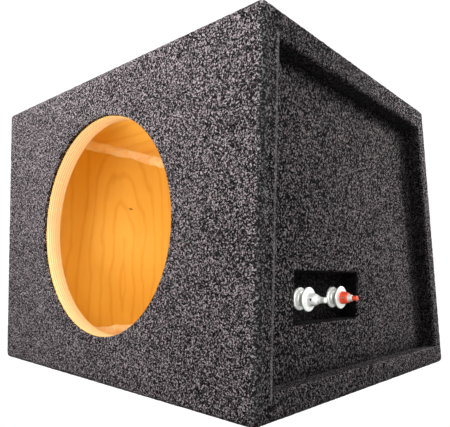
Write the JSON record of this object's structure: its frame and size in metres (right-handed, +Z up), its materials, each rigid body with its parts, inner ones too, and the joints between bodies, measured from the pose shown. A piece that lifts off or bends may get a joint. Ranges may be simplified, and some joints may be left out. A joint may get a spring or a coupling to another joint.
{
  "type": "car subwoofer enclosure",
  "caption": "Carpeted plywood wedge enclosure for a car subwoofer, with a round driver cut-out, recessed sides and sprung wire posts in a carpeted pocket.",
  "frame": {"origin": "middle of the footprint on the ground, under the carpet of the bottom face", "axes": "+Z up; -Y out of the baffle with the driver cut-out; +X out of the side that has the terminal pocket; +Y towards the leaning back"},
  "size_m": [0.435, 0.43, 0.33],
  "materials": {
    "birch_plywood": "bare sanded birch plywood, pale straw on its cut edge and honey coloured inside",
    "charcoal_carpet": "charcoal needle-felt trunk carpet with black, grey and pale grey fibres",
    "sealant": "smooth cured glue and sealant, slightly glossy",
    "nickel_plate": "bright nickel plate",
    "zinc_steel": "zinc-plated steel",
    "spring_steel": "bright drawn spring wire",
    "red_plastic": "glossy slightly clear red plastic",
    "black_plastic": "black plastic"
  },
  "bodies": {
    "enclosure": {"front_baffle": "birch_plywood", "top_panel": "birch_plywood", "bottom_panel": "birch_plywood", "back_panel": "birch_plywood", "left_side_panel": "birch_plywood", "right_side_panel": "birch_plywood", "terminal_board": "birch_plywood", "carpet_front": "charcoal_carpet", "carpet_top": "charcoal_carpet", "carpet_bottom": "charcoal_carpet", "carpet_back": "charcoal_carpet", "carpet_left_side": "charcoal_carpet", "carpet_right_side": "charcoal_carpet", "carpet_pocket": "charcoal_carpet", "left_seam_bead": "sealant", "right_seam_bead": "sealant", "front_bottom_bead": "sealant", "back_bottom_bead": "sealant", "back_top_bead": "sealant", "front_top_bead": "sealant", "board_screw_1": "zinc_steel", "board_screw_2": "zinc_steel", "board_screw_3": "zinc_steel", "board_screw_4": "zinc_steel", "negative_post_shaft": "nickel_plate", "negative_base_collar": "nickel_plate", "negative_solder_lug": "nickel_plate", "negative_collar_spring": "spring_steel", "negative_flat_washer": "zinc_steel", "negative_lock_washer": "zinc_steel", "negative_nut": "zinc_steel", "positive_post_shaft": "nickel_plate", "positive_base_collar": "nickel_plate", "positive_solder_lug": "nickel_plate", "positive_collar_spring": "spring_steel", "positive_flat_washer": "zinc_steel", "positive_lock_washer": "zinc_steel", "positive_nut": "zinc_steel", "positive_post_tip": "red_plastic", "negative_post_tip": "nickel_plate"},
    "negative_collar": {"negative_push_collar": "nickel_plate", "negative_collar_liner": "black_plastic"},
    "positive_collar": {"positive_push_collar": "nickel_plate", "positive_collar_liner": "black_plastic", "positive_collar_sleeve": "red_plastic"}
  },
  "joints": [
    {"name": "negative_collar_push", "type": "slide", "parent": "enclosure", "child": "negative_collar", "axis": [-1, 0, 0], "range_m": [0, 0.0045], "stiffness_N_per_m": 1500, "springref_m": -0.0015, "deforming": ["negative_collar_spring"]},
    {"name": "positive_collar_push", "type": "slide", "parent": "enclosure", "child": "positive_collar", "axis": [-1, 0, 0], "range_m": [0, 0.0045], "stiffness_N_per_m": 1500, "springref_m": -0.0015, "deforming": ["positive_collar_spring"]}
  ]
}
